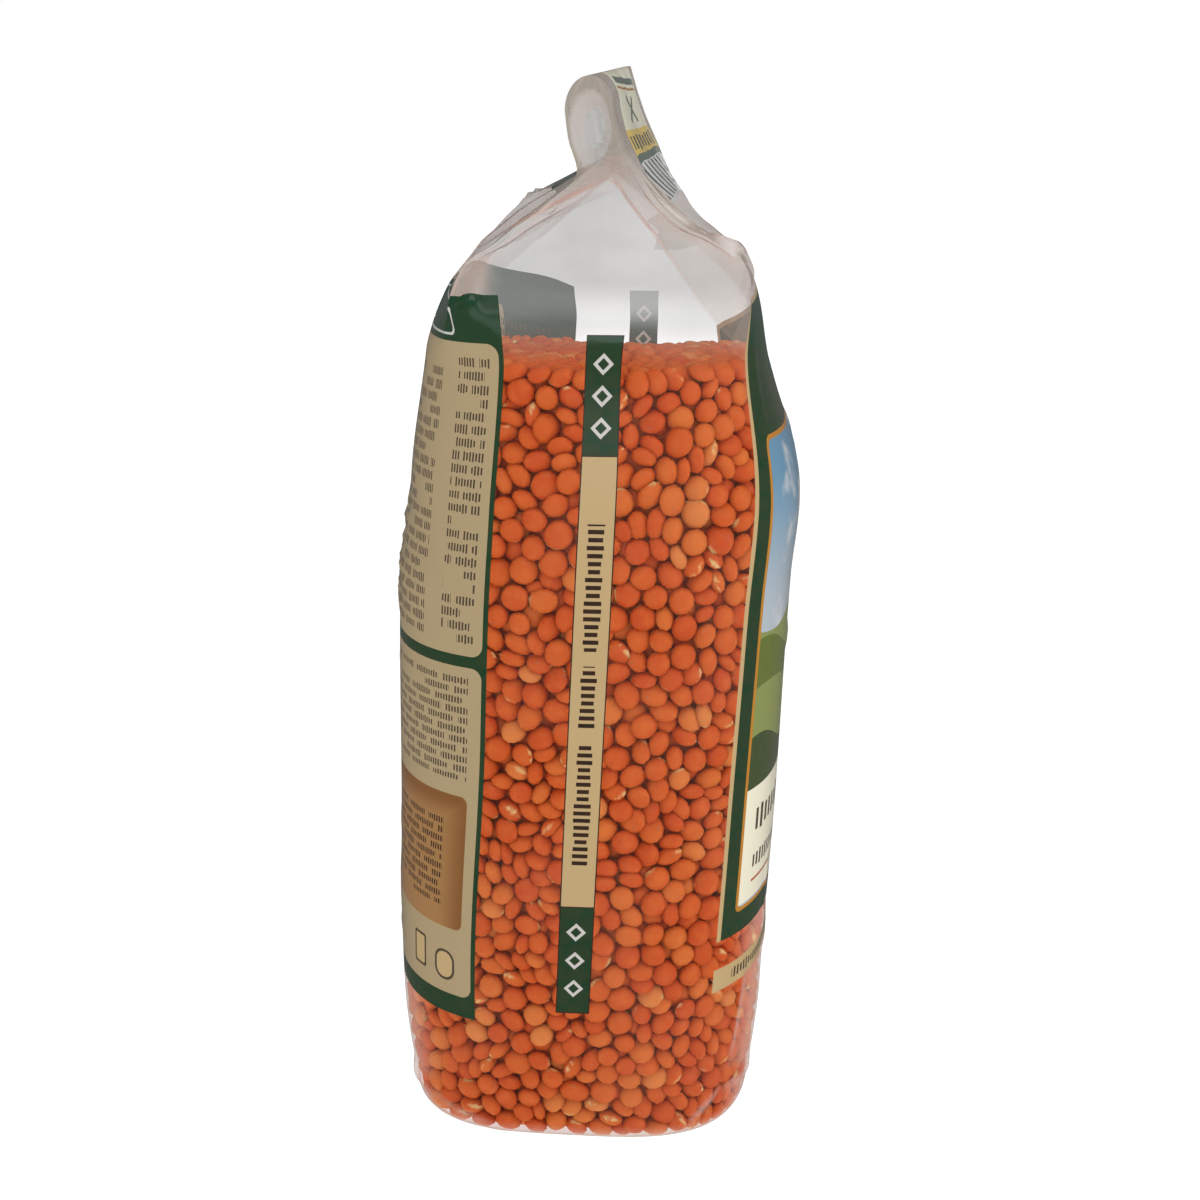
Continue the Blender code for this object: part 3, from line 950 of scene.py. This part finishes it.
def front_print(s):
    """The front panel: a green frame with cream and orange lines round a plain design."""
    near, far = 28.4, 96.5
    s.u = s.plus(s.u, s.grade(s.v, 95.0, 150.0, 0.9, -1.7))
    drop = s.past_corner(66.0, 0.36)
    top, inner_top = (s.below(s.v, s.minus(height, drop)) for height in (150.5, 149.5))
    left, right = near + 5.2, far - 5.2
    sky = s.mix(s.grade(s.v, 96.0, 124.0), PALE_SKY, SKY)
    sky = s.mix(s.grade(s.noise(s.place(), 90.0, 3.0), 0.5, 0.66), sky, CLOUD)
    wide, high = s.minus(s.u, 70.0), s.minus(s.v, 113.0)
    sun = s.below(s.plus(s.times(wide, wide), s.times(high, high)), 49.0)
    layers = [
        (s.times(s.box(near, far, 39.5, 151.0), top), CREAM),
        (s.times(s.box(near + 1.0, far - 1.0, 39.5, 151.0), inner_top), GREEN),
        (s.round_box(left - 0.8, right + 0.8, 43.6, 128.0, 1.5), ORANGE_LINE),
        (s.box(near, far, 29.5, 34.0), CREAM),
        (s.round_box(left, right, 44.4, 127.2, 1.2), sky),
        (sun, SUN),
    ]
    picture = s.box(left, right, 66.5, 127.2)
    for middle, lift, pace, phase, shade in (
        (98.0, 3.5, 0.11, 0.4, PALE_LEAF),
        (91.0, 3.0, 0.16, 2.2, LEAF),
        (82.0, 3.5, 0.10, 4.0, PALE_LEAF),
        (74.0, 2.5, 0.19, 1.0, DARK_LEAF),
    ):
        wave = s.math("SINE", s.math("MULTIPLY_ADD", s.u, pace, phase))
        edge = s.math("MULTIPLY_ADD", wave, lift, middle)
        layers.append((s.times(picture, s.below(s.v, edge)), shade))
    layers.append((s.box(left, right, 44.8, 66.5), PALE_CREAM))
    title = (left + 4.0, right - 6.0, 46.0, 65.0)
    return layers + [
        (s.stroke_row(60.0, 5.0, 2.2, 60.0, *title), INK),
        (s.stroke_row(52.0, 3.2, 1.5, 52.0, *title), INK),
        (s.box(left + 4.0, right - 6.0, 48.0, 48.5), RED_LINE),
        (s.stroke_row(31.75, 2.2, 1.1, 3.0, near + 5.0, far - 8.0, 29.5, 34.0), INK),
    ]


def tab_print(s):
    """The folded tab's front: cream, yellow and green bands and slanting strokes."""
    near, far = 24.0, 106.0
    left, right = near + 0.6, far - 0.6
    slant = s.math("FRACT", s.math("DIVIDE", s.math("MULTIPLY_ADD", s.v, 3.5, s.u), 11.0))
    slanting = s.times(s.below(slant, 0.38), s.box(near + 2.0, far - 3.0, 171.6, 178.8))
    grille = s.stroke_row(182.2, 2.9, 9.4, 5.0, near + 6.0, far - 6.0, 180.3, 184.4)
    aside = s.math("ABSOLUTE", s.math("DIVIDE", s.minus(s.u, 64.0), 12.0))
    aloft = s.math("ABSOLUTE", s.math("DIVIDE", s.minus(s.v, 187.8), 2.3))
    cross = s.math("COMPARE", s.minus(aside, aloft), 0.0, 0.26)
    return [
        (s.box(near, far, 171.0, 196.0), GREY_GREEN),
        (s.box(left, right, 171.0, 179.0), TAB_WHITE),
        (slanting, DARK_GREY),
        (s.box(left, right, 179.0, 180.3), GREY_GREEN),
        (s.box(left, right, 180.3, 184.4), YELLOW),
        (grille, DARK_GREY),
        (s.box(left, right, 184.4, 195.4), TAB_CREAM),
        (s.box(near + 6.0, far - 4.0, 191.0, 191.4), ORANGE_LINE),
        (s.box(near + 8.0, far - 5.0, 192.0, 193.2), GREY_GREEN),
        (s.times(cross, s.box(52.0, 76.0, 185.5, 190.1)), GREY_GREEN),
        (s.box(near, far, 195.4, 196.0), YELLOW),
    ]


def print_coordinates(rings, girth):
    """Millimetres round the film from the print's line, and up it, at every point."""
    print_u, print_v = [], []
    middle = 2 * PANEL_COLUMNS + GUSSET_COLUMNS + GUSSET_COLUMNS // 2
    travelled = np.zeros(len(rings[0]))
    previous = rings[0]
    for ring in rings:
        step = np.linalg.norm(np.roll(ring, -1, axis=0) - ring, axis=1)
        along = np.concatenate(([0.0], np.cumsum(np.roll(step, -middle))))[:-1]
        along = along * girth / step.sum()
        far_side = smoothstep(*FAR_STRIP_BLEND, np.minimum(along, girth - along))
        shift = ring[middle, 0] - (PRINT_LINE_START + PRINT_LINE_LEAN * ring[middle, 2])
        along = along + shift * (1.0 - 2.0 * far_side)
        along = np.where(along > girth * PRINT_SPLIT, along - girth, along)
        print_u.append(np.roll(along, middle))
        high, high_before = (np.clip(z, PRINT_RISE_START, None) for z in (ring[:, 2], previous[:, 2]))
        full = np.linalg.norm(ring - previous, axis=1)
        rise = np.maximum(ring[:, 2] - previous[:, 2], 1e-6)
        travelled = travelled + (high - high_before) * full / rise
        print_v.append(np.minimum(ring[:, 2], PRINT_RISE_START) + travelled)
        previous = ring
    return np.concatenate(print_u), np.concatenate(print_v)


def side_quads(index):
    """Faces between each ring and the next, from a grid of their points' numbers."""
    right = np.roll(index, -1, axis=1)
    return np.stack((index[:-1], right[:-1], right[1:], index[1:]), axis=-1).reshape(-1, 4)


def cross_quads(ring):
    """Faces that close one end of the film, front film to back film, from the far gusset on."""
    far_middle = PANEL_COLUMNS + GUSSET_COLUMNS // 2
    k = np.arange(END_FACES)
    front, back = far_middle - k, far_middle + 1 + k
    return ring[np.stack((front - 1, front, back, back + 1), axis=1) % len(ring)]


def build_film():
    """The bag's film as one closed skin, with print coordinates at every point."""
    rings = [ring_points(height, inset) for height, inset in ring_plan()]
    girth = girth_of(rings[len(rings) // 3])
    print_u, print_v = print_coordinates(rings, girth)
    grid, hollow = hollow_loop(np.stack(rings))
    points, crest = crease_film(grid)
    points[:, 2] = np.maximum(points[:, 2], LEAST_HEIGHT)
    index = np.arange(len(points)).reshape(len(rings), -1)
    base, crown = cross_quads(index[0])[:, ::-1], cross_quads(index[-1])
    film = mesh_from_arrays("bag_film", points * MM, np.concatenate((base, side_quads(index), crown)))
    film.data.set_sharp_from_angle(angle=SHARP_FOLD)
    film.visible_shadow = False
    film.visible_diffuse = False
    add_print_map(film, print_u, print_v, girth)
    add_film_values(film, points, hollow, crest)
    return film, girth


def add_film_values(film, points, hollow, crest):
    """Where the film hangs free, is folded, creased or hazier, and where its ink is seen through."""
    x, y, z = points.T
    beyond, crisp = gusset_folds(points)
    back_corner = smoothstep(-12.0, -15.5, x) * (y < -15.0)
    far_strip = np.where((np.abs(x - 7.5) < 11.0) & (y > 25.0), 1.0, 0.35)
    for name, values in (
        ("free_film", smoothstep(140.0, 148.0, z)),
        ("veil", back_corner * smoothstep(144.0, 148.0, z)),
        ("thin_ink", far_strip * smoothstep(136.0, 144.0, z) * smoothstep(10.0, 34.0, y)),
        # foot: hazier film at the base, partly painted shade over the floor under the bag
        ("foot", smoothstep(4.0, 0.6, z)),
        ("neck", smoothstep(163.0, 174.0, z)),
        ("hollow", hollow),
        ("crest", crest),
        ("beyond_fold", beyond),
        ("crisp", crisp),
    ):
        add_value(film, name, values)


def add_print_map(film, print_u, print_v, girth):
    """The print's coordinates for each face corner, unbroken across the far gusset."""
    corner = np.empty(len(film.data.loops), dtype=np.int32)
    film.data.loops.foreach_get("vertex_index", corner)
    corner = corner.reshape(-1, 4)
    u, v = print_u[corner], print_v[corner]
    torn = np.ptp(u, axis=1) > girth / 2.0
    u[torn] = np.where(u[torn] < 0.0, u[torn] + girth, u[torn])
    crown = len(corner) - END_FACES
    u[crown:, 2:] = u[crown:, 1::-1]
    layer = film.data.uv_layers.new(name="print")
    print_map = np.stack((u, v), axis=-1) / PRINT_MAP_SIZE
    layer.data.foreach_set("uv", print_map.astype(np.float32).ravel())
    film.data.polygons.foreach_set("material_index", print_zone(u.mean(axis=1), v.mean(axis=1)))


def girth_of(ring):
    return float(np.linalg.norm(np.roll(ring, -1, axis=0) - ring, axis=1).sum())


def film_creases():
    """The creases that have a place of their own, and short ones scattered on the panels."""
    rng = np.random.default_rng(SEED + 2)
    creases = list(NAMED_CREASES)
    for n in range(LOOSE_CREASES):
        side = 1.0 if n % 2 else -1.0
        start = np.array((side * 33.0, rng.uniform(-26.0, 26.0), rng.uniform(12.0, 150.0)))
        turn = rng.uniform(0.0, math.pi)
        length = rng.uniform(7.0, 20.0)
        end = start + length * np.array((0.0, math.cos(turn), math.sin(turn)))
        creases.append((start, end, rng.uniform(0.2, 0.45), rng.uniform(1.8, 3.0)))
    return creases


def hollow_loop(grid):
    """Sinks the film at both ends of the folded loop, and gives where it is sunk."""
    hollow = np.zeros(grid.shape[:2])
    for start in (PANEL_COLUMNS, 2 * PANEL_COLUMNS + GUSSET_COLUMNS):
        columns = slice(start + 3, start + GUSSET_COLUMNS - 2)
        cap = grid[:, columns]
        level = cap[..., 2] - FOLD_TILT * cap[..., 1] / FLAT_HALF_WIDTH
        across = (cap[..., 0] - LOOP_CENTRE[0]) / LOOP_HALF[0]
        away = np.hypot(across, (level - LOOP_CENTRE[1]) / LOOP_HALF[1])
        cap[..., 1] -= np.sign(cap[..., 1]) * LOOP_DENT * smoothstep(1.0, 0.45, away)
        hollow[:, columns] = smoothstep(1.0, 0.8, away)
    return grid, hollow.ravel()


def crease_film(grid):
    """Raises the creases on the film, and gives how near each point is to a crest."""
    around = np.roll(grid, -1, axis=1) - np.roll(grid, 1, axis=1)
    outward = np.cross(around, np.gradient(grid, axis=0)).reshape(-1, 3)
    outward /= np.linalg.norm(outward, axis=1)[:, None] + 1e-9
    points = grid.reshape(-1, 3)
    lift, crest = np.zeros(len(points)), np.zeros(len(points))
    for start, end, height, reach in film_creases():
        line = np.array(end) - np.array(start)
        share = np.clip((points - start) @ line / (line @ line), 0.0, 1.0)
        apart = points - start - share[:, None] * line
        off = dot(apart, outward)
        away = np.sqrt(np.maximum(dot(apart, apart) - off * off, 0.0))
        near = np.maximum(1.0 - away / reach, 0.0) * (np.abs(off) < CREASE_DEPTH)
        near = near * np.sqrt(np.sin(math.pi * np.clip(share, 0.04, 0.96)))
        lift = np.maximum(lift, height * near)
        crest = np.maximum(crest, near * min(1.0, height / FULL_CREST))
    return points + outward * lift[:, None], crest


def gusset_folds(points):
    """How far the film lies beyond the gable's two folds at each gusset, and how crisp they are."""
    x, y, z = points.T
    beyond = np.full(len(points), FOLD_FAR)
    crisp = np.zeros(len(points))
    for side, apex, slopes, share in GABLE_FOLDS:
        here = side * y > 20.0
        drop = TUCK_APEX + 1.0 - z
        front = (x - apex - slopes[1] * drop) / math.hypot(1.0, slopes[1])
        back = (apex - slopes[0] * drop - x) / math.hypot(1.0, slopes[0])
        beyond = np.where(here, np.clip(np.maximum(front, back), -FOLD_FAR, FOLD_FAR), beyond)
        fade_front = (0.25 + 0.6 * smoothstep(150.0, 162.0, z)) * smoothstep(142.0, 145.0, z)
        sharp = np.where(front > back, fade_front, smoothstep(155.5, 157.0, z))
        crisp = np.where(here, share * sharp * smoothstep(169.5, 167.5, z), crisp)
    return beyond, crisp


def build_core():
    """The inside of the fill, behind the outer lentils."""
    heights = np.linspace(CORE_START, FILL_HEIGHT - CORE_DEPTH, CORE_RINGS)
    rings = []
    for height in heights:
        x, y = round_section(height, CORE_DEPTH)
        scale = 1.0 + 0.4 * np.sin(np.arange(len(x)) * 0.7 + height * 1.3) / 32.0
        slope = HEAP_SLOPE * smoothstep(100.0, heights[-1], height)
        rings.append(np.stack((x * scale, y * scale, height - slope * y), axis=1)[::4])
    columns = len(rings[0])
    points = np.concatenate(rings + [[[0.0, 0.0, heights[0]]], [[0.0, 0.0, heights[-1]]]])
    index = np.arange(len(rings) * columns).reshape(len(rings), columns)
    sides = side_quads(index)
    low, high = (np.full(columns, len(points) - n) for n in (2, 1))
    base = np.stack((np.roll(index[0], -1), index[0], low), axis=1)
    top = np.stack((index[-1], np.roll(index[-1], -1), high), axis=1)
    faces = np.concatenate((sides[:, (0, 1, 2)], sides[:, (0, 2, 3)], base, top))
    return mesh_from_arrays("fill_core", points * MM, faces)


def add_piece(obj, *materials):
    for material in materials:
        obj.data.materials.append(material)
    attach(obj, "root")
    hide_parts("lentil_bag")


def build_contents():
    """The lentils that can be seen, finer where they lie outermost, and the core behind them."""
    table = BodyTable()
    settled = settle_lentils(table)
    rng = np.random.default_rng(SEED + 1)
    cover = cover_of(settled[0], table)
    material = lentil_material()
    for name, kept, per_piece, template in (
        ("lentils_outer", cover < SEEN_DEPTH, OUTER_PER_PIECE, lentil_template(12, 6)),
        ("lentils_inner", cover >= SEEN_DEPTH, INNER_PER_PIECE, lentil_template(10, 4)),
    ):
        chosen = np.flatnonzero(kept)
        for number, start in enumerate(range(0, len(chosen), per_piece)):
            some = chosen[start:start + per_piece]
            add_piece(build_lentils(f"{name}_{number}", some, settled, template, rng), material)
    add_piece(build_core(), core_material())


FLOOR_SIZE = 60.0
FLOOR_GLOW = 1.15
WORLD_STRENGTH = 0.295
WORLD_SEEN = (("Is Glossy Ray", 0.12), ("Is Camera Ray", 1.0))

# Square studio lights: name, place in metres, height aimed at, size and power
STUDIO_LIGHTS = (
    ("overhead", (0.1, -0.35, 0.95), 0.08, 0.8, 3.4),
    ("front", (-0.15, -1.25, 0.42), 0.09, 0.9, 2.9),
    ("left", (-0.9, -0.3, 0.45), 0.09, 0.6, 1.15),
    ("right", (0.9, -0.2, 0.4), 0.09, 0.6, 2.6),
)

# The photograph's viewpoint, from the outline's perspective
CAMERA_TURN = math.radians(5.0)
CAMERA_RISE = math.radians(15.5)
CAMERA_DISTANCE = 308.0 * MM
CAMERA_AIM = Vector((0.6, 0.0, 92.6)) * MM


def pale_floor():
    """A plain floor that glows evenly, as white as the photograph's ground."""
    bpy.ops.mesh.primitive_grid_add(x_subdivisions=8, y_subdivisions=8, size=FLOOR_SIZE)
    floor = bpy.context.object
    floor.name = "floor"
    s = Shader("pale_floor")
    cloud = s.noise(s.place(), 3.0, 2.0)
    s.set(
        Base_Color=(0.0, 0.0, 0.0),
        Roughness=0.6,
        Emission_Color=s.mix(cloud, (0.97, 0.97, 0.97), (1.0, 1.0, 1.0)),
        Emission_Strength=FLOOR_GLOW,
        Specular_IOR_Level=0.0,
    )
    floor.data.materials.append(s.material)
    floor.visible_glossy = False


def place_object(name, data, place, view):
    """Adds a light or camera that looks along view."""
    obj = bpy.data.objects.new(name, data)
    obj.location = place
    obj.rotation_euler = view.to_track_quat("-Z", "Y").to_euler()
    bpy.context.scene.collection.objects.link(obj)
    return obj


def light_studio():
    """An even world, dimmer in reflections and white to the camera, and four soft lights."""
    world = bpy.data.worlds.new("studio")
    bpy.context.scene.world = world
    world.use_nodes = True
    tree = world.node_tree
    background = tree.nodes["Background"]
    background.inputs["Color"].default_value = (1.0, 1.0, 1.0, 1.0)
    path = tree.nodes.new("ShaderNodeLightPath")
    strength = WORLD_STRENGTH
    for ray, level in WORLD_SEEN:
        chosen = tree.nodes.new("ShaderNodeMapRange")
        chosen.inputs["To Max"].default_value = level
        tree.links.new(path.outputs[ray], chosen.inputs["Value"])
        if isinstance(strength, float):
            chosen.inputs["To Min"].default_value = strength
        else:
            tree.links.new(strength, chosen.inputs["To Min"])
        strength = chosen.outputs["Result"]
    tree.links.new(strength, background.inputs["Strength"])
    for name, place, aim_height, size, power in STUDIO_LIGHTS:
        light = bpy.data.lights.new(name, "AREA")
        light.shape = "SQUARE"
        light.size = size
        light.energy = power
        place_object(name, light, place, Vector((0.0, 0.0, aim_height)) - Vector(place))


def place_camera():
    """The photograph's camera."""
    camera_data = bpy.data.cameras.new("camera")
    camera_data.lens = 50.0
    camera_data.sensor_width = 36.0
    camera_data.clip_start = 0.01
    flat = math.cos(CAMERA_RISE)
    away = Vector((math.sin(CAMERA_TURN) * flat, -math.cos(CAMERA_TURN) * flat, math.sin(CAMERA_RISE)))
    camera = place_object("camera", camera_data, CAMERA_AIM + away * CAMERA_DISTANCE, -away)
    bpy.context.scene.camera = camera


place_camera()
film, girth = build_film()
add_piece(film, *film_materials(girth))
build_contents()
pale_floor()
light_studio()
bpy.context.scene.view_settings.view_transform = "Standard"
